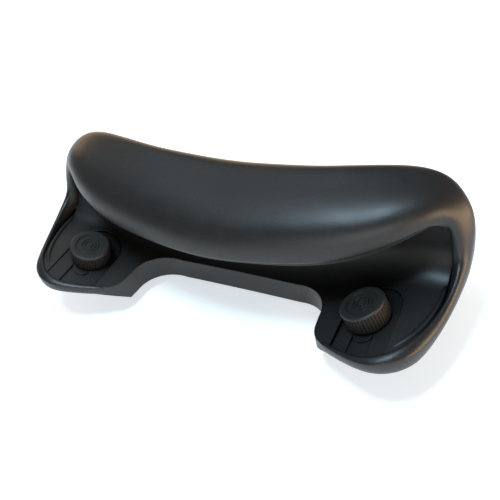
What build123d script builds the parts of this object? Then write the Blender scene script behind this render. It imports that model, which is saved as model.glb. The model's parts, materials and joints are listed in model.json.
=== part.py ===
"""Clamp-on padded rest: concave tray with a moulded foam bolster and two sliding thumb knobs.

Frame: +X along the width, +Z out of the padded front, +Y towards the bolster.
The origin is the centre of the flat land under the back shell. Millimetres.
"""
from build123d import *
import math
import os

os.makedirs("parts", exist_ok=True)

# ---- driving dimensions ----
half_width = 145.5          # to the outside of the padded side rim
floor_radius = 310.0        # tray floor, a trough about an axis along Y
floor_low = 17.0            # height of the tray floor on the centre line
body_depth = 16.0           # tray floor to the back of the shell
blend_x = 105.0             # where the trough turns over into the flat outer lobe
lobe_radius = 80.0          # crown of the outer lobe
arch_y = -10.8              # middle of the arched front edge
wall = 2.6                  # moulded wall of the tray
shell_wall = 2.6            # moulded wall of the back shell
gap = 0.3                   # parting gap between moulded pieces
foam_gap = 0.9              # room between the rigid pieces and the foam's underside
shelf_thick = 3.0
rim_width = 5.6             # width of the padded side rim in plan
knob_x = 100.0              # knob axis where it meets the lobe
knob_y = -38.0
knob_r = 13.2
knob_height = 11.5
stud_r = 3.0                # threaded tip
stud_tip = 12.0             # length of the threaded tip
shank_r = 3.2               # plain shank above it
stud_end = 30.0             # stud tip below the knob's lower face
channel_width = 34.0
channel_depth = 1.2
track_thick = 2.4
groove_width = 13.0
groove_depth = 1.1
cove_r = 18.0               # floor of the recess rounded up into its rear wall
slot_width = 10.0
slot_half = 16.0            # slot half length along the channel
travel = 8.0                # knob travel each way
plate_depth = 5.4           # steel plate, top face below the floor
plate_thick = 2.0
screw_spots = [(80.0, -30.0), (-80.0, -30.0), (124.0, -24.0), (-124.0, -24.0)]
screw_r = 1.5
boss_r = 2.8
land_length = 120.0
land_width = 15.0
tray_rear = 6.0             # rear face of the tray
tray_foot = -73.0           # lowest point of a lobe's bottom edge in plan
rear_side = 135.5           # half width of the back shell's rear wall
foot_rise = 1.0             # padded edge above the tray along a lobe's foot
knob_ribs = 44

# ---- bolster stations: x, lip y, lip z, crown z, rear y ----
stations = [
    (0.0, -42.2, 60.0, 91.7, 17.6),
    (26.0, -40.6, 60.6, 92.6, 17.8),
    (52.0, -36.6, 61.2, 94.6, 18.4),
    (78.0, -31.0, 64.0, 96.2, 21.4),
    (102.0, -21.7, 70.2, 96.0, 26.0),
    (122.0, -7.0, 77.4, 93.0, 28.4),
    (134.0, 6.0, 77.0, 85.0, 26.4),
]

blend_angle = math.asin(blend_x / floor_radius)
knob_tilt = math.asin(knob_x / floor_radius)
trough_z = floor_low + floor_radius
lobe_x = blend_x + lobe_radius * math.sin(blend_angle)
lobe_z = trough_z - (floor_radius + lobe_radius) * math.cos(blend_angle)
knob_z = trough_z - floor_radius * math.cos(knob_tilt)
reach = 160.0               # half length of construction solids along X
deep = 130.0                # half length of construction solids along Y
low_z = -20.0               # under everything
high_z = 120.0              # over everything


def floor_points(depth):
    """Trough profile points, right half, at a depth below the tray floor."""
    big = floor_radius + depth
    small = lobe_radius - depth
    low = (0, trough_z - big)
    half = blend_angle / 2
    mid = (big * math.sin(half), trough_z - big * math.cos(half))
    turn = (big * math.sin(blend_angle), trough_z - big * math.cos(blend_angle))
    crown_mid = (lobe_x - small * math.sin(half), lobe_z + small * math.cos(half))
    crown = (lobe_x, lobe_z + small)
    return low, mid, turn, crown_mid, crown


def mirror_x(point):
    return (-point[0], point[1])


def floor_wires(depth):
    """Line objects that draw the whole trough profile inside a BuildLine."""
    low, mid, turn, crown_mid, crown = floor_points(depth)
    Line((-reach, crown[1]), mirror_x(crown))
    ThreePointArc(mirror_x(crown), mirror_x(crown_mid), mirror_x(turn))
    ThreePointArc(mirror_x(turn), low, turn)
    ThreePointArc(turn, crown_mid, crown)
    Line(crown, (reach, crown[1]))


def band(top, bottom):
    """Solid layer between two depths below the tray floor."""
    with BuildPart() as layer:
        with BuildSketch(Plane.XZ):
            with BuildLine():
                floor_wires(top)
                floor_wires(bottom)
                z_top = floor_points(top)[4][1]
                z_bottom = floor_points(bottom)[4][1]
                Line((reach, z_top), (reach, z_bottom))
                Line((-reach, z_top), (-reach, z_bottom))
            make_face()
        extrude(amount=deep, both=True)
    return layer.part


def near(vertices, x, y):
    """Sketch corners at (x, y) and its mirror image."""
    picked = []
    for v in vertices:
        if math.hypot(abs(v.X) - x, v.Y - y) < 0.5:
            picked.append(v)
    return picked


def body_plan(side, top_y, bottom_y, corner_r):
    """Plan outline: arched front, two lobes, sides; side is the half width."""
    inner = (70.5, -54.5)
    foot = (112.0, bottom_y)
    heel = (side - 11.0, bottom_y + 12.0)
    waist = (side - 1.9, -27.0)
    shoulder = (side, 0.0)
    with BuildSketch() as plan:
        with BuildLine():
            ThreePointArc((-44.0, arch_y - 2.8), (0, arch_y), (44.0, arch_y - 2.8))
            for s in (1, -1):
                a = (s * 44.0, arch_y - 2.8)
                b = (s * 61.5, arch_y - 9.9)
                c = (s * 68.7, arch_y - 27.4)
                ThreePointArc(a, b, c)
                Polyline(
                    c,
                    (s * inner[0], inner[1]),
                    (s * foot[0], foot[1]),
                    (s * heel[0], heel[1]),
                    (s * waist[0], waist[1]),
                    (s * shoulder[0], shoulder[1]),
                    (s * side, top_y),
                )
            Line((-side, top_y), (side, top_y))
        make_face()
        fillet(near(plan.vertices(), *inner), 16)
        fillet(near(plan.vertices(), *foot), 20)
        fillet(near(plan.vertices(), *heel), 20)
        fillet(near(plan.vertices(), *waist), 60)
        fillet(near(plan.vertices(), side, top_y), corner_r)
    return plan.sketch


def prism(plan):
    """Plan outline pulled through the full height."""
    with BuildPart() as body:
        with BuildSketch(Plane.XY.offset(low_z)):
            add(plan)
        extrude(amount=high_z - low_z)
    return body.part


def rear_line():
    """Rear edge of the whole part in plan."""
    rear = [(s[0], s[4]) for s in stations]
    left = [mirror_x(p) for p in reversed(rear[1:])]
    return left + rear


def rear_plan(inset, front_y, side):
    """Plan strip from front_y back to the rear edge less an inset."""
    pts = [(p[0], p[1] - inset) for p in rear_line()]
    with BuildSketch() as plan:
        with BuildLine():
            Spline(*pts)
            Line(pts[0], (-side, 20.0 - inset))
            Line((-side, 20.0 - inset), (-side, front_y))
            Line((-side, front_y), (side, front_y))
            Line((side, front_y), (side, 20.0 - inset))
            Line((side, 20.0 - inset), pts[-1])
        make_face()
    return plan.sketch


def below_bolster(drop):
    """Everything under the foam's flat underside, less a drop."""
    under = [(s[0], s[2] - 1.2 - drop) for s in stations]
    pts = [mirror_x(p) for p in reversed(under[1:])] + under
    with BuildPart() as zone:
        with BuildSketch(Plane.XZ):
            with BuildLine():
                Spline(*pts)
                Line(pts[-1], (reach, pts[-1][1]))
                Line((reach, pts[-1][1]), (reach, -20))
                Line((reach, -20), (-reach, -20))
                Line((-reach, -20), (-reach, pts[0][1]))
                Line((-reach, pts[0][1]), pts[0])
            make_face()
        extrude(amount=deep, both=True)
    return zone.part


def knob_plane(s, n=0.0, along=0.0):
    """Plane square to a knob axis; s is +1 right, -1 left, n is height on the axis."""
    tilt = s * knob_tilt
    normal = Vector(-math.sin(tilt), 0, math.cos(tilt))
    centre = Vector(s * knob_x, knob_y + along, knob_z) + normal * n
    return Plane(origin=centre, x_dir=(math.cos(tilt), 0, math.sin(tilt)), z_dir=normal)


def floor_plane(x, y):
    """Plane on the tray floor with its normal out of the floor."""
    if abs(x) < blend_x:
        tilt = math.asin(x / floor_radius)
        z = trough_z - floor_radius * math.cos(tilt)
    else:
        tilt = math.copysign(math.asin((lobe_x - abs(x)) / lobe_radius), x)
        z = lobe_z + lobe_radius * math.cos(tilt)
    normal = (-math.sin(tilt), 0, math.cos(tilt))
    return Plane(origin=(x, y, z), x_dir=(math.cos(tilt), 0, math.sin(tilt)), z_dir=normal)


def posts(radius, low, high):
    """Round posts square to the floor at the four shell screws."""
    with BuildPart() as group:
        for x, y in screw_spots:
            with BuildSketch(floor_plane(x, y).offset(low)):
                Circle(radius)
            extrude(amount=high - low)
    return group.part


def half_space(points, s, lift):
    """Slab behind the plane through three points; lift moves the plane into the part."""
    a, b, c = (Vector(s * p[0], p[1], p[2]) for p in points)
    x_dir = (b - a).normalized()
    normal = x_dir.cross(c - a).normalized()
    if normal.Z < 0:
        normal = normal * -1
    with BuildPart() as slab:
        with BuildSketch(Plane(origin=a + normal * lift, x_dir=x_dir, z_dir=normal)):
            Rectangle(400, 400)
        extrude(amount=-120)
    return slab.part


def back_cut(s, lift):
    """What is taken off behind a lobe: the sloping heel, drafted outer side and corner."""
    heel = half_space([(70, -58, 21.5), (104, -71.5, 31.0), (91.6, -54, 14.0)], s, lift)
    side = half_space([(141.5, -4.8, 40.0), (131.2, -49.8, 26.5), (126.5, -4.8, 25.0)], s, lift)
    flank = half_space([(145.6, 0, 58.0), (145.6, 30, 58.0), (138.0, 0, 22.0)], s, lift)
    toe = half_space([(130.8, -62.5, 31.0), (112.6, -71.6, 30.2), (110.0, -50.0, 16.2)], s, lift)
    with BuildPart() as own_side:
        with BuildSketch(Plane.XY.offset(-60)):
            with Locations((s * 130, 0)):
                Rectangle(200, 400)
        extrude(amount=300)
    return (heel + side + flank + toe) & own_side.part


def channel_zone(s, width, low, high, slot_end=24.0):
    """Straight channel from the lobe's bottom edge to a rounded end past the knob."""
    r = width / 2
    with BuildPart() as zone:
        with BuildSketch(knob_plane(s, low)):
            with Locations((0, (slot_end - r - 60) / 2)):
                Rectangle(width, slot_end - r + 60)
            with Locations((0, slot_end - r)):
                Circle(r)
        extrude(amount=high - low)
    return zone.part


def slot_zone(s, width, half, low, high):
    with BuildPart() as zone:
        with BuildSketch(knob_plane(s, low)):
            SlotOverall(2 * half, width, rotation=90)
        extrude(amount=high - low)
    return zone.part


tray_side = half_width - rim_width
tray_plan = body_plan(tray_side, tray_rear, tray_foot, 4)
tray_hollow = offset(tray_plan, -wall)
shell_plan = offset(tray_plan, -(wall + gap))
shell_hollow = offset(tray_plan, -(wall + gap + shell_wall))
plate_plan = offset(tray_plan, -(wall + 2 * gap + shell_wall + 0.2))


def bridge_zone(grow):
    """Strip of the back shell that passes under the tray's rear skirt."""
    with BuildPart() as zone:
        with BuildSketch():
            with Locations((0, 4.6)):
                Rectangle(2 * (tray_side - 12 + grow), 5.4 + 2 * grow)
        extrude(amount=60)
        add(band(body_depth - shell_wall - grow, body_depth), mode=Mode.INTERSECT)
    return zone.part


def riser_zone():
    """Rear wall of the recess, from the tray floor up to the bolster shelf."""
    with BuildPart() as riser:
        with BuildSketch():
            with Locations((0, tray_rear - wall / 2)):
                Rectangle(2 * tray_side - 9, wall)
        extrude(amount=high_z)
        add(below_bolster(foam_gap + shelf_thick + 0.2), mode=Mode.INTERSECT)
        add(band(wall, body_depth + 60), mode=Mode.SUBTRACT)
    return riser.part


def cove_zone():
    """Large round that carries the recess floor up into its rear wall."""
    inner_y = tray_rear - wall
    with BuildPart() as bar:
        with BuildLine(Plane.XZ.offset(cove_r - inner_y)):
            floor_wires(-cove_r)
        start = Plane(origin=(-reach, inner_y - cove_r, floor_points(-cove_r)[4][1]), z_dir=(1, 0, 0))
        with BuildSketch(start):
            Circle(cove_r)
        sweep()
    with BuildPart() as cove:
        with BuildSketch():
            with Locations((0, inner_y - cove_r / 2)):
                Rectangle(2 * tray_side - 9, cove_r + 1)
        extrude(amount=high_z)
        add(band(-cove_r, 0.5), mode=Mode.INTERSECT)
        add(prism(tray_plan), mode=Mode.INTERSECT)
        add(bar.part, mode=Mode.SUBTRACT)
    return cove.part


def pan_zone():
    """Space inside the back shell's pan."""
    with BuildPart() as pan:
        add(prism(shell_hollow))
        add(band(-20, body_depth - shell_wall), mode=Mode.INTERSECT)
        for s in (1, -1):
            add(back_cut(s, shell_wall), mode=Mode.SUBTRACT)
    return pan.part


def rear_housing():
    """Hollow rear wall of the back shell, from the pan up to the foam."""
    with BuildPart() as void:
        add(prism(rear_plan(0.6 + shell_wall, 0, rear_side - shell_wall)))
        add(band(-100, body_depth - shell_wall), mode=Mode.INTERSECT)
    with BuildPart() as rear:
        add(prism(rear_plan(0.6, tray_rear + gap, rear_side)))
        add(below_bolster(foam_gap), mode=Mode.INTERSECT)
        add(band(-100, body_depth), mode=Mode.INTERSECT)
        add(void.part, mode=Mode.SUBTRACT)
    return rear.part


def land_zone():
    """Flat land that the part rests on."""
    with BuildPart() as land:
        with BuildSketch():
            RectangleRounded(land_length, land_width, 4)
        extrude(amount=12)
        add(band(-100, body_depth - 0.5), mode=Mode.SUBTRACT)
    return land.part


# ---- tray: floor, skirt, rear wall ----
with BuildPart() as tray:
    add(prism(tray_plan))
    add(band(0, body_depth), mode=Mode.INTERSECT)
    add(prism(tray_hollow).intersect(band(wall, body_depth + 20)), mode=Mode.SUBTRACT)
    add(riser_zone())
    add(cove_zone())
    add(bridge_zone(gap), mode=Mode.SUBTRACT)
    add(posts(boss_r, 0.5 - body_depth + shell_wall, -wall / 2))
    add(posts(screw_r, -body_depth, -wall - 1.0), mode=Mode.SUBTRACT)
    for s in (1, -1):
        add(back_cut(s, 0), mode=Mode.SUBTRACT)
        add(channel_zone(s, channel_width, -channel_depth - track_thick - gap, 40), mode=Mode.SUBTRACT)
tray.part.label = "tray"
export_step(tray.part, "parts/tray.step")

# ---- back shell: pan under the tray, rear wall and flat land ----
with BuildPart() as back_shell:
    add(prism(shell_plan))
    add(band(wall + gap, body_depth), mode=Mode.INTERSECT)
    for s in (1, -1):
        add(back_cut(s, 0), mode=Mode.SUBTRACT)
    add(pan_zone(), mode=Mode.SUBTRACT)
    add(rear_housing())
    add(bridge_zone(0))
    add(land_zone())
    for s in (1, -1):
        top = -channel_depth - track_thick - 2 * gap
        add(channel_zone(s, channel_width + 2 * gap, top, 40), mode=Mode.SUBTRACT)
        add(slot_zone(s, slot_width, slot_half, -40, 0), mode=Mode.SUBTRACT)
    add(posts(screw_r + 0.3, -body_depth - 4, -body_depth + 6), mode=Mode.SUBTRACT)
back_shell.part.label = "back_shell"
export_step(back_shell.part, "parts/back_shell.step")

# ---- steel plate between tray and shell, slotted for the studs ----
with BuildPart() as stiffener_plate:
    add(prism(plate_plan))
    add(band(plate_depth, plate_depth + plate_thick), mode=Mode.INTERSECT)
    for s in (1, -1):
        add(back_cut(s, shell_wall + gap), mode=Mode.SUBTRACT)
        add(slot_zone(s, slot_width, slot_half, -40, 20), mode=Mode.SUBTRACT)
    add(posts(boss_r + 0.4, -12, 0), mode=Mode.SUBTRACT)
stiffener_plate.part.label = "stiffener_plate"
export_step(stiffener_plate.part, "parts/stiffener_plate.step")


def lip_line(inset):
    """Front edge of the bolster in plan, moved back by an inset."""
    pts = [(s[0], s[1] + inset) for s in stations[:-1]]
    return [mirror_x(p) for p in reversed(pts[1:])] + pts


# ---- rigid shelf that carries the foam bolster ----
shelf_side = rear_side - shell_wall - 2 * gap
shelf_rear = 13.0
with BuildPart() as bolster_shelf:
    edge = lip_line(4.0)
    with BuildSketch():
        with BuildLine():
            Spline(*edge)
            Line(edge[0], (-shelf_side, shelf_rear))
            Line((-shelf_side, shelf_rear), (shelf_side, shelf_rear))
            Line((shelf_side, shelf_rear), edge[-1])
        make_face()
    extrude(amount=high_z)
    add(below_bolster(foam_gap), mode=Mode.INTERSECT)
    add(below_bolster(foam_gap + shelf_thick), mode=Mode.SUBTRACT)
bolster_shelf.part.label = "bolster_shelf"
export_step(bolster_shelf.part, "parts/bolster_shelf.step")


def bolster_section(x, lip_y, lip_z, crown_z, rear_y):
    """Closed cross-section of the foam bolster at one station."""
    depth = rear_y - lip_y
    rise = crown_z - lip_z
    base = lip_z - 1.2
    front = [
        (lip_y, lip_z),
        (lip_y + 0.05 * depth, lip_z + 0.34 * rise),
        (lip_y + 0.17 * depth, lip_z + 0.58 * rise),
        (lip_y + 0.36 * depth, lip_z + 0.76 * rise),
        (lip_y + 0.62 * depth, lip_z + 0.87 * rise),
        (lip_y + 0.86 * depth, crown_z),
        (lip_y + 0.965 * depth, crown_z - 0.10 * rise),
        (rear_y, crown_z - 0.34 * rise),
    ]
    with BuildSketch(Plane.YZ.offset(x)) as section:
        with BuildLine():
            Spline(*front)
            Line(front[-1], (rear_y - 0.4, base))
            Line((rear_y - 0.4, base), (lip_y + 2.5, base))
            Line((lip_y + 2.5, base), front[0])
        make_face()
    return section.sketch


# ---- foam pad: bolster and the padded side rims, one moulding ----
rim_plan = body_plan(half_width, 24.0, tray_foot - 1.2, 16)
rim_void = offset(tray_plan, gap)


def rim_side_zone():
    """Side profile of the padded rims, rising from the lobe into the bolster's end."""
    with BuildPart() as zone:
        with BuildSketch(Plane.YZ):
            with BuildLine():
                low = [(-80, 36), (-66, 39), (-48, 40.6), (-34, 42.8), (-18, 47.8)]
                Spline(*low, (-4, 53), (6, 63), (13, 74), (20, 81), (30, 83))
                Line((30, 83), (30, low_z))
                Line((30, low_z), (-80, low_z))
                Line((-80, low_z), (-80, 36))
            make_face()
        extrude(amount=reach + 10, both=True)
    return zone.part


def rim_front_zone():
    """Front profile that rounds the bolster's ends down into the rims."""
    shoulder = [(122, 93), (133, 87), (141, 76), (half_width, 62)]
    with BuildPart() as zone:
        with BuildSketch(Plane.XZ):
            with BuildLine():
                Spline(*shoulder)
                Line((half_width, 62), (half_width, low_z))
                Line((half_width, low_z), (-half_width, low_z))
                Line((-half_width, low_z), (-half_width, 62))
                Spline(*[mirror_x(p) for p in reversed(shoulder)])
                Line((-122, 93), (122, 93))
            make_face()
        extrude(amount=deep, both=True)
    return zone.part


def rigid_room():
    """Room for the tray and for the back shell's rear wall inside the rims."""
    with BuildPart() as rear:
        add(prism(rear_plan(0, 0, rear_side + gap)))
        add(below_bolster(0), mode=Mode.INTERSECT)
    with BuildPart() as room:
        with BuildSketch(Plane.XY.offset(low_z)):
            add(rim_void)
        extrude(amount=76)
        with BuildSketch(Plane.XY.offset(low_z)):
            with Locations((0, -40)):
                Rectangle(208, 80)
            with Locations((0, 14)):
                Rectangle(250, 60)
        extrude(amount=high_z - low_z)
        add(rear.part)
    return room.part


def foot_top():
    """Room above the foot of a lobe, where the padded edge lies almost flush with the tray."""
    with BuildPart() as room:
        with BuildSketch():
            Rectangle(248, 300)
        extrude(amount=high_z)
        add(band(-100, -foot_rise), mode=Mode.INTERSECT)
    return room.part


def rims():
    with BuildPart() as pair:
        add(prism(rim_plan))
        add(rim_side_zone(), mode=Mode.INTERSECT)
        add(rim_front_zone(), mode=Mode.INTERSECT)
        add(band(-100, body_depth), mode=Mode.INTERSECT)
        add(rigid_room(), mode=Mode.SUBTRACT)
        add(foot_top(), mode=Mode.SUBTRACT)
        for s in (1, -1):
            add(back_cut(s, 0), mode=Mode.SUBTRACT)
    return pair.part


with BuildPart() as foam_pad:
    for st in reversed(stations[1:]):
        add(bolster_section(-st[0], *st[1:]))
    for st in stations:
        add(bolster_section(*st))
    loft()
    add(rims())
foam_pad.part.label = "foam_pad"
export_step(foam_pad.part, "parts/foam_pad.step")

# ---- screws that pull the back shell onto the tray bosses ----
with BuildPart() as back_shell_screws:
    for x, y in screw_spots:
        with BuildSketch(floor_plane(x, y).offset(-body_depth - 0.1)):
            Circle(screw_r)
        extrude(amount=body_depth - wall - 1.4)
        with BuildSketch(floor_plane(x, y).offset(-body_depth - 1.9)):
            Circle(3.1)
        extrude(amount=1.8)
        with BuildSketch(floor_plane(x, y).offset(-body_depth - 1.9)):
            Rectangle(3.4, 0.8)
            Rectangle(0.8, 3.4)
        extrude(amount=1.0, mode=Mode.SUBTRACT)
back_shell_screws.part.label = "back_shell_screws"
export_step(back_shell_screws.part, "parts/back_shell_screws.step")


def make_track(s):
    """Channel liner: flat slideway with a centre groove and a slot for the stud block."""
    floor_n = -channel_depth
    low_n = floor_n - track_thick
    with BuildPart() as track:
        add(channel_zone(s, channel_width - 2 * gap, low_n, floor_n, 24.0 - gap))
        add(prism(tray_plan), mode=Mode.INTERSECT)
        add(back_cut(s, 0), mode=Mode.SUBTRACT)
        add(channel_zone(s, groove_width, floor_n - groove_depth, 10, 20.0), mode=Mode.SUBTRACT)
        add(slot_zone(s, slot_width, slot_half, -20, 10), mode=Mode.SUBTRACT)
    return track.part


def make_slide_block(s):
    """Flanged block that keeps the stud square in the slot."""
    with BuildPart() as block:
        with BuildSketch(knob_plane(s, -9.8)):
            SlotOverall(20, 14, rotation=90)
        extrude(amount=2.0)
        with BuildSketch(knob_plane(s, -7.8)):
            SlotOverall(14, slot_width - 0.4, rotation=90)
        extrude(amount=5.4)
        with BuildSketch(knob_plane(s, -12)):
            Circle(shank_r + 0.05)
        extrude(amount=12, mode=Mode.SUBTRACT)
    return block.part


def make_clamp_washer(s):
    """Long washer that lies in the groove and covers the slot in front of the knob."""
    low = -channel_depth - groove_depth + 0.1
    with BuildPart() as washer:
        with BuildSketch(knob_plane(s, low, -2.75)):
            SlotOverall(28.5, groove_width - 2 * gap, rotation=90)
        extrude(amount=0.9)
        with BuildSketch(knob_plane(s, low - 1)):
            Circle(shank_r + 0.3)
        extrude(amount=3, mode=Mode.SUBTRACT)
    return washer.part


def make_spring_washer(s):
    """Split lock washer under the knob hub."""
    with BuildPart() as washer:
        with BuildSketch(knob_plane(s, -1.0)):
            Circle(5.4)
            Circle(shank_r + 0.2, mode=Mode.SUBTRACT)
            with Locations((4.5, 0)):
                Rectangle(5, 0.8, mode=Mode.SUBTRACT)
        extrude(amount=0.8)
    return washer.part


def make_knob_body(s):
    """Hollow thumb knob: knurled skirt, smooth crown rim, recessed face."""
    with BuildPart() as knob:
        with BuildSketch(knob_plane(s, 0.0)):
            Circle(knob_r - 0.5)
        extrude(amount=0.8)
        with BuildSketch(knob_plane(s, 0.8)):
            Circle(knob_r)
            with PolarLocations(knob_r + 0.12, knob_ribs):
                Circle(0.6, mode=Mode.SUBTRACT)
        extrude(amount=knob_height - 2.4)
        with BuildSketch(knob_plane(s, knob_height - 1.6)):
            Circle(knob_r - 0.05)
        extrude(amount=1.6)
        top = knob.faces().filter_by(GeomType.PLANE).sort_by(
            lambda f: (f.center() - knob_plane(s).origin).dot(knob_plane(s).z_dir))[-1]
        fillet(top.edges(), 1.1)
        with BuildSketch(knob_plane(s, knob_height - 1.5)):
            Circle(9.7)
        extrude(amount=3, mode=Mode.SUBTRACT)
        with BuildSketch(knob_plane(s, 0.0)):
            Circle(11.2)
            Circle(6.8, mode=Mode.SUBTRACT)
        extrude(amount=7.5, mode=Mode.SUBTRACT)
        with BuildSketch(knob_plane(s, 0.0)):
            Circle(shank_r)
        extrude(amount=8.6, mode=Mode.SUBTRACT)
        with BuildSketch(knob_plane(s, 4.0)):
            RegularPolygon(5.0, 6, major_radius=False)
        extrude(amount=4.6, mode=Mode.SUBTRACT)
    return knob.part


def make_knob_cap(s):
    """Face disc with concentric rings and a centre nub."""
    base = knob_height - 1.4
    with BuildPart() as cap:
        with BuildSketch(knob_plane(s, base)):
            Circle(9.6)
        extrude(amount=0.6)
        for outer, inner, rise in ((9.6, 8.9, 1.2), (5.9, 5.2, 1.1), (3.9, 3.3, 1.1), (1.7, 0, 1.3)):
            with BuildSketch(knob_plane(s, base)):
                Circle(outer)
                if inner:
                    Circle(inner, mode=Mode.SUBTRACT)
            extrude(amount=rise)
    return cap.part


def make_stud(s):
    """Screw moulded into the knob, with a groove for the retaining ring."""
    with BuildPart() as stud:
        with BuildSketch(knob_plane(s, -stud_end)):
            Circle(stud_r)
        extrude(amount=stud_tip)
        with BuildSketch(knob_plane(s, stud_tip - stud_end)):
            Circle(shank_r)
        extrude(amount=stud_end - stud_tip + 4.0)
        with BuildSketch(knob_plane(s, 4.0)):
            RegularPolygon(5.0, 6, major_radius=False)
        extrude(amount=4.6)
        with BuildSketch(knob_plane(s, -11.0)):
            Circle(shank_r + 1)
            Circle(2.4, mode=Mode.SUBTRACT)
        extrude(amount=0.9, mode=Mode.SUBTRACT)
    return stud.part


def make_retaining_ring(s):
    with BuildPart() as ring:
        with BuildSketch(knob_plane(s, -10.95)):
            Circle(4.8)
            Circle(2.4, mode=Mode.SUBTRACT)
            with Locations((0, -3.5)):
                Rectangle(3.2, 5, mode=Mode.SUBTRACT)
        extrude(amount=0.8)
    return ring.part


side_parts = {
    "adjuster_track": make_track,
    "slide_block": make_slide_block,
    "clamp_washer": make_clamp_washer,
    "spring_washer": make_spring_washer,
    "knob_body": make_knob_body,
    "knob_cap": make_knob_cap,
    "stud": make_stud,
    "retaining_ring": make_retaining_ring,
}
for side, s in (("left", -1), ("right", 1)):
    for piece, make in side_parts.items():
        solid = make(s)
        solid.label = f"{piece}_{side}"
        export_step(solid, f"parts/{piece}_{side}.step")
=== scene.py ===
"""Looks of the clamp-on padded rest: a detailed moulded pad, materials, light and camera."""

import json

import bpy
from mathutils import Matrix, Vector


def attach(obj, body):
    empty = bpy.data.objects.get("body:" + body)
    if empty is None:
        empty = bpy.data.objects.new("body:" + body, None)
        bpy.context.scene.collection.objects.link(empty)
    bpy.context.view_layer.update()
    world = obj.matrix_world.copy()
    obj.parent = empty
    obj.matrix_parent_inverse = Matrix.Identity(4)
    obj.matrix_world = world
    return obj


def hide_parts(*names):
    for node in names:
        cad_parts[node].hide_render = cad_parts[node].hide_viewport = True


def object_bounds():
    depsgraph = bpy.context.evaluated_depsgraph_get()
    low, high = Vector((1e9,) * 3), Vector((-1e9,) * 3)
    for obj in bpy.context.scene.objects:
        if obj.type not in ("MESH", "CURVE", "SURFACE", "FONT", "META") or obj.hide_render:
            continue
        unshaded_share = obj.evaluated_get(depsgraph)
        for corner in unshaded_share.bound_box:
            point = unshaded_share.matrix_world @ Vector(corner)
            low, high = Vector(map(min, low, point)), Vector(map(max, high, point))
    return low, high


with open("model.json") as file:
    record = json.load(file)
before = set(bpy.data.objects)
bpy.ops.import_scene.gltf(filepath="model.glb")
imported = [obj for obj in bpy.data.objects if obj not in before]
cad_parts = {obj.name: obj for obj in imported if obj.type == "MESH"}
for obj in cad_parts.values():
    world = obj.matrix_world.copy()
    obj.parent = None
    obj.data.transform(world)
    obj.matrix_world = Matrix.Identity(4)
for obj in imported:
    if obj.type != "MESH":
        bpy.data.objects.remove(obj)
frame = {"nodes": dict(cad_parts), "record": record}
cad_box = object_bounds()
MM = 0.001
UP = Vector((0, 0, 1))

# ---- padded moulding ----
# One ring across the pad per station, from the middle of the bolster to the tip of the right rim:
# inner edge, span to the outer edge, rise of the crown, share of plain roll, foot of the outer wall.
# Millimetres. A bolster ring has no foot: it closes flat on the shelf.
BOLSTER_STATIONS = [
    ((0, -42.2, 60.0), (0, 59.8, 0), (0, 0, 31.7), 0.0, None),
    ((14, -41.8, 60.1), (0, 59.4, 0), (0, 0, 31.9), 0.0, None),
    ((28, -40.4, 60.4), (0.5, 58.2, 0), (0, 0, 32.4), 0.0, None),
    ((43, -38.2, 60.9), (1, 56.2, 0), (0, 0, 32.9), 0.0, None),
    ((58, -35.6, 61.6), (1.5, 54.2, 0), (0, 0, 33.2), 0.0, None),
    ((73, -32.4, 63.2), (2, 53.0, 0), (0, 0, 32.6), 0.0, None),
    ((88, -28.0, 66.2), (3, 51.2, 0), (0, 0, 30.0), 0.0, None),
    ((101, -22.2, 69.8), (5, 48.2, 0), (0, 0, 26.4), 0.05, None),
    ((112, -15.5, 73.2), (6.5, 42.6, 0), (0, 0, 21.6), 0.12, None),
    ((120, -8.8, 76.0), (8, 34.6, 0), (0, 0, 16.0), 0.25, None),
]
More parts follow.
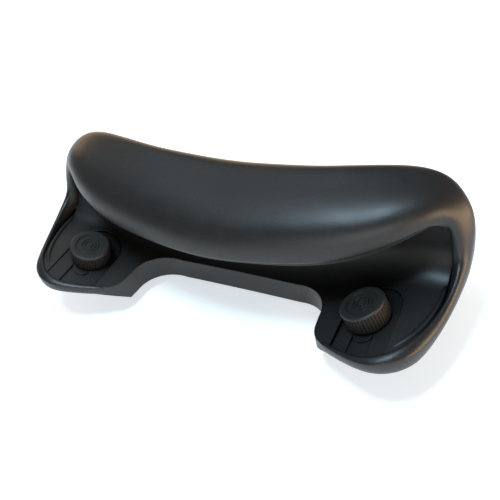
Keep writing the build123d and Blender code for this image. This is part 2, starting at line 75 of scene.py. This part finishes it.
RIM_STATIONS = [
    ((125.5, -4.2, 76.6), (9.5, 26.5, 0), (0, 0, 11.5), 0.45, (133.5, 22.5, 73)),
    ((130.2, 0.4, 74.0), (11.3, 17.6, -1), (0, -1.5, 8.5), 0.7, (139.5, 22.0, 60)),
    ((133.2, 3.0, 68.0), (11.3, 12.0, -1), (0, -3.5, 7.0), 0.9, (142.5, 20.5, 44)),
    ((134.3, 3.2, 60.0), (11.0, 7.3, 0.5), (0, -5.0, 5.5), 1.0, (143.2, 17.0, 38)),
    ((134.7, 2.6, 52.0), (10.5, 4.0, -0.5), (0, -5.5, 5.5), 1.0, (143.2, 10.0, 37.5)),
    ((135.4, 0.0, 45.0), (9.7, 0.8, -0.5), (0, -4.5, 8.5), 1.0, (143.4, 2.0, 37.5)),
    ((136.8, -8.0, 41.0), (7.6, 0.5, 0.8), (0, -2.0, 8.8), 1.0, (143.0, -7.5, 37.5)),
    ((137.4, -18.0, 40.6), (5.7, -0.3, -0.8), (0, -1.0, 6.2), 1.0, (142.2, -18.0, 37.0)),
    ((136.4, -28.0, 40.4), (5.0, -0.6, -2.0), (0, -0.8, 4.2), 1.0, (140.9, -28.4, 35.4)),
    ((133.6, -39.0, 40.3), (5.4, -1.0, -3.2), (0, -0.5, 3.0), 1.0, (138.3, -39.9, 32.4)),
    ((130.4, -48.0, 40.2), (5.1, -2.2, -3.8), (0, -0.4, 2.6), 1.0, (134.8, -50.0, 28.6)),
    ((126.4, -55.0, 40.0), (4.8, -4.7, -3.4), (0, -0.3, 2.4), 1.0, (130.7, -59.2, 28.0)),
    ((120.6, -61.5, 39.3), (3.1, -6.1, -2.4), (0, -0.2, 2.1), 1.0, (123.3, -67.1, 28.2)),
    ((112.2, -66.4, 37.7), (0.9, -5.6, -1.3), (0, -0.1, 1.5), 1.0, (113.0, -71.4, 28.4)),
    ((103.0, -66.8, 34.8), (-0.5, -3.9, -1.1), (0, 0, 1.1), 1.0, (102.6, -70.2, 27.7)),
    ((93.4, -63.2, 31.6), (-1.4, -2.8, -0.9), (0, 0, 0.8), 1.0, (92.1, -65.7, 24.7)),
    ((84.4, -59.4, 28.9), (-1.2, -2.2, -0.7), (0, 0, 0.6), 1.0, (83.4, -61.3, 21.9)),
    ((77.0, -55.9, 26.9), (-1.0, -1.5, -0.6), (0, 0, 0.4), 1.0, (76.2, -57.0, 19.5)),
]
# Sections of the shown skin, as share of the span and share of the rise.
BOLSTER_CURVE = [
    (0.0, 0.0), (0.012, 0.17), (0.05, 0.36), (0.13, 0.54), (0.26, 0.685), (0.42, 0.79),
    (0.60, 0.868), (0.76, 0.945), (0.88, 0.995), (0.965, 0.92), (1.0, 0.70),
]
ROLL_CURVE = [
    (0.0, 0.0), (0.02, 0.26), (0.06, 0.5), (0.13, 0.7), (0.23, 0.86), (0.35, 0.96),
    (0.49, 1.0), (0.64, 0.97), (0.79, 0.86), (0.92, 0.64), (1.0, 0.34),
]
# Unseen side of a bolster ring.
SHELF_DROP = 1.2            # underside, below the lip
REAR_EDGE_RISE = 1.2
REAR_EDGE_RUN = 1.4
LIP_SET_BACK = 2.5
LIP_EDGE_RUN = 1.9
LIP_EDGE_RISE = 0.3
# Unseen side of a rim ring.
WALL = 2.4                  # thickness of the outer wall
WALL_BULGE = 0.5
FOOT_EDGE = 1.0
SHOULDER_DROP = 0.6         # inner shoulder, below the inner edge
SHOULDER_LIMIT = 3.0        # and at most this far above the outer edge
INNER_TUCK = 0.8
INNER_DROP = 0.5
PAD_SMOOTHING = 3


def add_object(name, data):
    obj = bpy.data.objects.new(name, data)
    bpy.context.scene.collection.objects.link(obj)
    return obj


def final_mesh(obj):
    """The object's mesh with its curve bevel or modifiers worked in."""
    graph = bpy.context.evaluated_depsgraph_get()
    return bpy.data.meshes.new_from_object(obj.evaluated_get(graph))


def shade_smooth(obj):
    obj.data.polygons.foreach_set("use_smooth", [True] * len(obj.data.polygons))


def mix(a, b, t):
    return a + (b - a) * t


def skin_points(inner, span, rise, roll):
    """The shown side of a ring, from the inner edge over the crown to the outer edge."""
    points = []
    for bolster, plain in zip(BOLSTER_CURVE, ROLL_CURVE):
        across = mix(bolster[0], plain[0], roll)
        up = mix(bolster[1], plain[1], roll)
        points.append(inner + span * across + rise * up)
    return points


def under_bolster(inner, outer):
    base = inner.z - SHELF_DROP
    inward = (inner - outer).xy.to_3d().normalized()
    rear = Vector((outer.x, outer.y, base))
    middle = Vector((inner.x, inner.y, base)).lerp(rear, 0.5)
    lip = Vector((inner.x, inner.y, base)) - inward * LIP_SET_BACK
    return [
        outer.lerp(rear, 0.5),
        rear + UP * REAR_EDGE_RISE,
        rear + inward * REAR_EDGE_RUN,
        middle,
        lip,
        lip + inward * LIP_EDGE_RUN + UP * LIP_EDGE_RISE,
    ]


def under_rim(inner, outer, foot):
    inward = (inner - outer).xy.to_3d().normalized()
    foot_in = foot + inward * WALL
    shoulder_height = min(inner.z - SHOULDER_DROP, outer.z + SHOULDER_LIMIT)
    return [
        outer.lerp(foot, 0.5) - inward * WALL_BULGE,
        foot + UP * FOOT_EDGE,
        foot + inward * FOOT_EDGE,
        foot_in + UP * FOOT_EDGE,
        Vector((foot_in.x, foot_in.y, shoulder_height)),
        inner - inward * INNER_TUCK - UP * INNER_DROP,
    ]


def pad_ring(inner, span, rise, roll, foot):
    """One closed ring, in millimetres."""
    inner, span, rise = Vector(inner), Vector(span), Vector(rise)
    skin = skin_points(inner, span, rise, roll)
    if foot is None:
        return skin + under_bolster(inner, skin[-1])
    return skin + under_rim(inner, skin[-1], Vector(foot))


def ring_faces(ring_count, points):
    """Quads between neighbouring rings, and one face to close each end."""
    faces = []
    for row in range(ring_count - 1):
        for place in range(points):
            here = row * points + place
            beside = row * points + (place + 1) % points
            faces.append((here, here + points, beside + points, beside))
    faces.append(tuple(range(points)))
    faces.append(tuple(reversed(range((ring_count - 1) * points, ring_count * points))))
    return faces


def build_pad():
    """Bolster and rims as one smooth closed skin, mirrored about the centre plane."""
    right = [pad_ring(*station) for station in BOLSTER_STATIONS + RIM_STATIONS]
    left = [[Vector((-p.x, p.y, p.z)) for p in ring] for ring in reversed(right[1:])]
    rings = left + right
    mesh = bpy.data.meshes.new("moulded_pad")
    mesh.from_pydata([p * MM for ring in rings for p in ring], [], ring_faces(len(rings), len(rings[0])))
    pad = add_object("moulded_pad", mesh)
    smooth = pad.modifiers.new("smooth", "SUBSURF")
    smooth.levels = smooth.render_levels = PAD_SMOOTHING
    smoothed = final_mesh(pad)
    pad.modifiers.clear()
    pad.data = smoothed
    shade_smooth(pad)
    return pad


# ---- bead on the tray ----
# Right side, in millimetres, from the rear to the front corner of the lobe.
BEAD_LINE = [
    (134.4, -1.0, 37.5), (134.8, -9.0, 39.2), (135.0, -17.0, 39.6), (134.2, -27.0, 39.5),
    (131.6, -38.0, 39.4), (128.4, -46.8, 39.3), (124.0, -53.8, 39.0), (117.6, -60.2, 37.6),
]
BEAD_RADIUS = 1.9
BEAD_TIP = 0.35             # share of the radius that is left at both ends
BEAD_ROUNDNESS = 3
BEAD_STEPS = 8
SMOOTH_CURVE_ORDER = 4


def build_bead(side):
    """Low rounded bead just inside a padded rim; it sinks into the tray at both ends."""
    line = bpy.data.curves.new("tray_edge_bead", "CURVE")
    line.dimensions = "3D"
    line.bevel_depth = BEAD_RADIUS * MM
    line.bevel_resolution = BEAD_ROUNDNESS
    line.use_fill_caps = True
    spline = line.splines.new("NURBS")
    last = len(BEAD_LINE) - 1
    spline.points.add(last)
    for number, (x, y, z) in enumerate(BEAD_LINE):
        spline.points[number].co = (side * x * MM, y * MM, z * MM, 1.0)
        spline.points[number].radius = BEAD_TIP if number in (0, last) else 1.0
    spline.order_u = SMOOTH_CURVE_ORDER
    spline.use_endpoint_u = True
    spline.resolution_u = BEAD_STEPS
    route = add_object("tray_edge_bead", line)
    mesh = final_mesh(route)
    bpy.data.objects.remove(route)
    bead = add_object("tray_edge_bead", mesh)
    shade_smooth(bead)
    return bead


# ---- materials ----
MIX_FIRST, MIX_SECOND, MIX_RESULT = 6, 7, 2     # colour sockets of Blender's Mix node


class Nodes:
    """Short helper for building a node material."""

    def __init__(self, name):
        self.material = bpy.data.materials.new(name)
        self.material.use_nodes = True
        self.tree = self.material.node_tree
        self.shader = self.tree.nodes["Principled BSDF"]
        self.place = self.add("ShaderNodeTexCoord").outputs["Object"]

    def add(self, kind, **settings):
        node = self.tree.nodes.new(kind)
        for key, value in settings.items():
            if key in node.inputs:
                node.inputs[key].default_value = value
            else:
                setattr(node, key, value)
        return node

    def link(self, source, target):
        self.tree.links.new(source, target)

    def noise(self, scale, detail=4.0, rough=0.55, vector=None):
        node = self.add("ShaderNodeTexNoise", Scale=scale, Detail=detail, Roughness=rough)
        self.link(vector or self.place, node.inputs["Vector"])
        return node.outputs["Fac"]

    def stretched(self, scale):
        """Object coordinates with a scale of their own on each axis."""
        node = self.add("ShaderNodeMapping")
        node.inputs["Scale"].default_value = scale
        self.link(self.place, node.inputs["Vector"])
        return node.outputs["Vector"]

    def spread(self, value, low, high, start=0.3, end=0.7):
        """A value moved from start..end to low..high."""
        node = self.add("ShaderNodeMapRange")
        for key, number in (("From Min", start), ("From Max", end), ("To Min", low), ("To Max", high)):
            node.inputs[key].default_value = number
        self.link(value, node.inputs["Value"])
        return node.outputs["Result"]

    def blend_colors(self, factor, first, second):
        node = self.add("ShaderNodeMix", data_type="RGBA")
        self.link(factor, node.inputs["Factor"])
        for key, colour in ((MIX_FIRST, first), (MIX_SECOND, second)):
            if isinstance(colour, tuple):
                node.inputs[key].default_value = (*colour, 1.0)
            else:
                self.link(colour, node.inputs[key])
        return node.outputs[MIX_RESULT]

    def math(self, operation, a, b):
        node = self.add("ShaderNodeMath", operation=operation)
        for key, value in ((0, a), (1, b)):
            if isinstance(value, (int, float)):
                node.inputs[key].default_value = value
            else:
                self.link(value, node.inputs[key])
        return node.outputs[0]

    def bump(self, height, strength, distance, normal=None):
        node = self.add("ShaderNodeBump", Strength=strength, Distance=distance)
        self.link(height, node.inputs["Height"])
        if normal is not None:
            self.link(normal, node.inputs["Normal"])
        return node.outputs["Normal"]

    def rounded_edges(self, radius):
        """The surface normal as if every edge had this radius."""
        return self.add("ShaderNodeBevel", samples=4, Radius=radius).outputs["Normal"]

    def edge_wear(self, rounded):
        """1 on edges, 0 on flats, from how far the rounded normal leans off the real one."""
        flat = self.add("ShaderNodeNewGeometry").outputs["Normal"]
        dot = self.add("ShaderNodeVectorMath", operation="DOT_PRODUCT")
        self.link(rounded, dot.inputs[0])
        self.link(flat, dot.inputs[1])
        return self.spread(dot.outputs["Value"], 1.0, 0.0, 0.75, 0.98)


GRAIN_CELLS = 1050.0        # leather cells per metre
GRAIN_WARP = 0.0012         # how far noise pushes the cells out of true, in metres
GRAIN_DEPTH = 0.00010
FINE_GRAIN = 2600.0
SKIN_DARK = (0.0125, 0.0119, 0.0111)
SKIN_LIGHT = (0.0172, 0.0162, 0.0147)
SKIN_WORN = (0.0215, 0.0197, 0.0172)
SKIN_CREASE = (0.0075, 0.0073, 0.0070)


def leather_cells(n):
    """0 in the creases between leather cells, 1 on the cells."""
    offset = n.add("ShaderNodeTexNoise", Scale=420.0, Detail=2.0)
    n.link(n.place, offset.inputs["Vector"])
    warp = n.add("ShaderNodeVectorMath", operation="SCALE")
    warp.inputs["Scale"].default_value = GRAIN_WARP
    n.link(offset.outputs["Color"], warp.inputs[0])
    moved = n.add("ShaderNodeVectorMath", operation="ADD")
    n.link(n.place, moved.inputs[0])
    n.link(warp.outputs[0], moved.inputs[1])
    cells = n.add("ShaderNodeTexVoronoi", feature="DISTANCE_TO_EDGE", Scale=GRAIN_CELLS)
    n.link(moved.outputs[0], cells.inputs["Vector"])
    return n.spread(cells.outputs["Distance"], 0.0, 1.0, 0.0, 0.28)


def leather_skin():
    """Satin moulded skin with a fine leather grain."""
    n = Nodes("foam_skin")
    pebbles = leather_cells(n)
    height = n.math("ADD", pebbles, n.math("MULTIPLY", n.noise(FINE_GRAIN, 3.0), 0.45))
    broad = n.noise(14.0, 3.0)
    patches = n.noise(60.0, 5.0)
    base = n.blend_colors(n.spread(broad, 0.0, 1.0), SKIN_DARK, SKIN_LIGHT)
    worn = n.blend_colors(n.spread(patches, 0.0, 0.5), base, SKIN_WORN)
    n.link(n.blend_colors(pebbles, SKIN_CREASE, worn), n.shader.inputs["Base Color"])
    n.link(n.spread(patches, 0.33, 0.41), n.shader.inputs["Roughness"])
    n.link(n.bump(height, 0.22, GRAIN_DEPTH), n.shader.inputs["Normal"])
    n.shader.inputs["Specular IOR Level"].default_value = 0.55
    return n.material


# Slot: dark tone, light tone, roughness, scale of the texture, its depth and the rubbed edge's radius.
PLASTICS = {
    "tray_plastic": ((0.0155, 0.0153, 0.0152), (0.0205, 0.0200, 0.0192), 0.38, 1500.0, 0.00005, 0.0012),
    "shell_plastic": ((0.008, 0.008, 0.009), (0.012, 0.012, 0.013), 0.52, 1100.0, 0.00012, 0.0010),
    "knob_plastic": ((0.0190, 0.0181, 0.0170), (0.0250, 0.0236, 0.0218), 0.40, 1700.0, 0.00006, 0.0004),
    "nylon": ((0.010, 0.010, 0.011), (0.014, 0.014, 0.015), 0.42, 1300.0, 0.00005, 0.0006),
}
# Painted shade for moulded plastic: where ambient occlusion finds surfaces close by, colour and shine
# are darkened towards near black.
SHADE_REACH = 0.05                   # surfaces this near, in metres, count as closing in
SHADE_DARKEST_AO, SHADE_FREE_AO = 0.15, 0.62         # occlusion values that count as fully dark and fully lit
PAINTED_SHADE_TONE = (0.0008, 0.0008, 0.0008)


def moulded_plastic(name, dark, light, rough, grain, depth, edge):
    """Moulded plastic: fine texture, handling marks, paler smoother edges, and painted shade darkening
    the undercuts.
    """
    n = Nodes(name)
    fine = n.noise(grain, 3.0)
    broad = n.noise(22.0, 4.0)
    marks = n.noise(150.0, 6.0, 0.65, n.stretched((1.0, 9.0, 4.0)))
    rounded = n.rounded_edges(edge)
    wear = n.edge_wear(rounded)
    body = n.blend_colors(n.spread(broad, 0.0, 1.0), dark, light)
    paler = tuple(min(1.0, c * 1.9 + 0.004) for c in light)
    surface = n.blend_colors(n.math("MULTIPLY", wear, n.spread(marks, 0.25, 0.8)), body, paler)
    # Painted shade: colour and shine both fade to near black where the surface closes in, standing in
    # for the shade in undercuts.
    open_air = n.add("ShaderNodeAmbientOcclusion", samples=8, Distance=SHADE_REACH).outputs["AO"]
    unshaded_share = n.spread(open_air, 0.0, 1.0, SHADE_DARKEST_AO, SHADE_FREE_AO)
    n.link(n.blend_colors(unshaded_share, PAINTED_SHADE_TONE, surface), n.shader.inputs["Base Color"])
    n.link(n.math("MULTIPLY", unshaded_share, 0.5), n.shader.inputs["Specular IOR Level"])
    base_rough = n.spread(marks, rough - 0.05, rough + 0.09)
    n.link(n.math("SUBTRACT", base_rough, n.math("MULTIPLY", wear, 0.06)), n.shader.inputs["Roughness"])
    n.link(n.bump(fine, 0.25, depth, rounded), n.shader.inputs["Normal"])
    return n.material


METALS = {
    "steel_plate": ((0.05, 0.05, 0.055), 0.5),
    "zinc_steel": ((0.60, 0.60, 0.58), 0.34),
}
METAL_EDGE = 0.0002
DRAWN_LINE_DEPTH = 0.00004


def plated_steel(name, base, rough):
    """Metal with fine drawing lines and dulled patches."""
    n = Nodes(name)
    lines = n.noise(700.0, 4.0, 0.6, n.stretched((1.0, 14.0, 1.0)))
    patches = n.noise(90.0, 4.0)
    dull = tuple(c * 0.72 for c in base)
    n.link(n.blend_colors(n.spread(patches, 0.0, 1.0), base, dull), n.shader.inputs["Base Color"])
    n.link(n.spread(patches, rough - 0.06, rough + 0.12), n.shader.inputs["Roughness"])
    n.link(n.bump(lines, 0.2, DRAWN_LINE_DEPTH, n.rounded_edges(METAL_EDGE)), n.shader.inputs["Normal"])
    n.shader.inputs["Metallic"].default_value = 1.0
    return n.material


def make_materials():
    made = {"foam_skin": leather_skin()}
    for name, finish in PLASTICS.items():
        made[name] = moulded_plastic(name, *finish)
    for name, (base, rough) in METALS.items():
        made[name] = plated_steel(name, base, rough)
    return made


def assign(obj, material):
    obj.data.materials.clear()
    obj.data.materials.append(material)


# ---- pieces ----
materials = make_materials()
slot_of = {part["node"]: part["material_slot"] for part in frame["record"]["subparts"]}
for name, node in frame["nodes"].items():
    assign(node, materials[slot_of[name]])

pad = build_pad()
assign(pad, materials["foam_skin"])
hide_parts("foam_pad")
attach(pad, "shell")

for side in (1, -1):
    bead = build_bead(side)
    assign(bead, materials["tray_plastic"])
    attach(bead, "shell")

# ---- floor ----
HALF_FLOOR = 12.0
FLOOR_GAP = 0.0004
FLOOR_TONES = ((0.86, 0.87, 0.89), (0.90, 0.905, 0.915))
FLOOR_GLOW = 0.62
FLOOR_GLOW_COLOUR = (0.86, 0.94, 1.0, 1.0)


def build_floor():
    """A pale floor just under the part. Its faint glow keeps the backdrop white."""
    corners = [(-HALF_FLOOR, -HALF_FLOOR, 0), (HALF_FLOOR, -HALF_FLOOR, 0),
               (HALF_FLOOR, HALF_FLOOR, 0), (-HALF_FLOOR, HALF_FLOOR, 0)]
    mesh = bpy.data.meshes.new("floor")
    mesh.from_pydata(corners, [], [(0, 1, 2, 3)])
    floor = add_object("floor", mesh)
    floor.location.z = cad_box[0][2] - FLOOR_GAP
    pale = Nodes("pale_floor")
    pale.link(pale.blend_colors(pale.noise(1.2, 2.0), *FLOOR_TONES), pale.shader.inputs["Base Color"])
    pale.shader.inputs["Roughness"].default_value = 0.85
    pale.shader.inputs["Emission Color"].default_value = FLOOR_GLOW_COLOUR
    pale.shader.inputs["Emission Strength"].default_value = FLOOR_GLOW
    assign(floor, pale.material)
    return floor


build_floor()

# ---- light ----
CENTRE = (0.0, -0.01, 0.05)
RIDGE = (0.04, -0.01, 0.08)
RIGHT_BELLY = (0.1, -0.01, 0.08)
RIDGE_LAMP_SIZE = (0.13, 0.13)
RIDGE_LAMP_COLOUR = (0.72, 0.88, 1.0)
RIDGE_LAMPS = [((-0.15, -0.07, 1.04), 0.55), ((-0.29, 0.08, 0.99), 0.25), ((-0.43, 0.24, 0.92), 0.15)]


def area_light(name, place, target, size, power, colour):
    lamp = bpy.data.lights.new(name, "AREA")
    lamp.shape = "RECTANGLE"
    lamp.size, lamp.size_y = size
    lamp.energy = power
    lamp.color = colour
    obj = add_object(name, lamp)
    obj.location = place
    obj.rotation_euler = (Vector(target) - Vector(place)).to_track_quat("-Z", "Y").to_euler()


area_light("key", (-0.01, -0.22, 1.06), RIGHT_BELLY, (0.16, 0.24), 5.6, (0.58, 0.82, 1.0))
area_light("ridge_soft", (-0.52, 0.20, 0.92), CENTRE, (0.45, 0.60), 0.25, (0.84, 0.93, 1.0))
for number, (place, power) in enumerate(RIDGE_LAMPS):
    area_light(f"ridge_{number}", place, RIDGE, RIDGE_LAMP_SIZE, power, RIDGE_LAMP_COLOUR)
area_light("front_fill", (0.45, -1.3, 0.5), CENTRE, (1.2, 0.6), 5.0, (0.95, 0.98, 1.0))
area_light("warm_back", (-0.75, 1.00, 0.34), CENTRE, (1.6, 0.5), 5.5, (1.0, 0.67, 0.38))
area_light("warm_right", (1.2, 0.0, 0.12), CENTRE, (1.2, 0.4), 13.0, (1.0, 0.68, 0.38))

world = bpy.data.worlds.new("studio")
bpy.context.scene.world = world
world.use_nodes = True
background = world.node_tree.nodes["Background"]
background.inputs["Color"].default_value = (0.95, 0.97, 1.0, 1.0)
background.inputs["Strength"].default_value = 0.26
bpy.context.scene.view_settings.view_transform = "Standard"

# ---- camera ----
CAMERA_PLACE = Vector((0.1959, -0.2599, 0.3021))
CAMERA_VIEW = Vector((-0.4518, 0.6146, -0.6466))
CAMERA_RIGHT = Vector((0.8763, 0.4417, -0.1925))
CAMERA_LENS = 46.27
SENSOR_WIDTH = 36.0
CLIP_START = 0.01


def build_camera():
    """The camera fitted to the photo. Its own axes are right, up and back."""
    data = bpy.data.cameras.new("camera")
    data.sensor_width = SENSOR_WIDTH
    data.lens = CAMERA_LENS
    data.clip_start = CLIP_START
    back = -CAMERA_VIEW.normalized()
    up = back.cross(CAMERA_RIGHT).normalized()
    right = up.cross(back)
    camera = add_object("camera", data)
    turn = Matrix((right, up, back)).transposed().to_4x4()
    camera.matrix_world = Matrix.Translation(CAMERA_PLACE) @ turn
    return camera


bpy.context.scene.camera = build_camera()
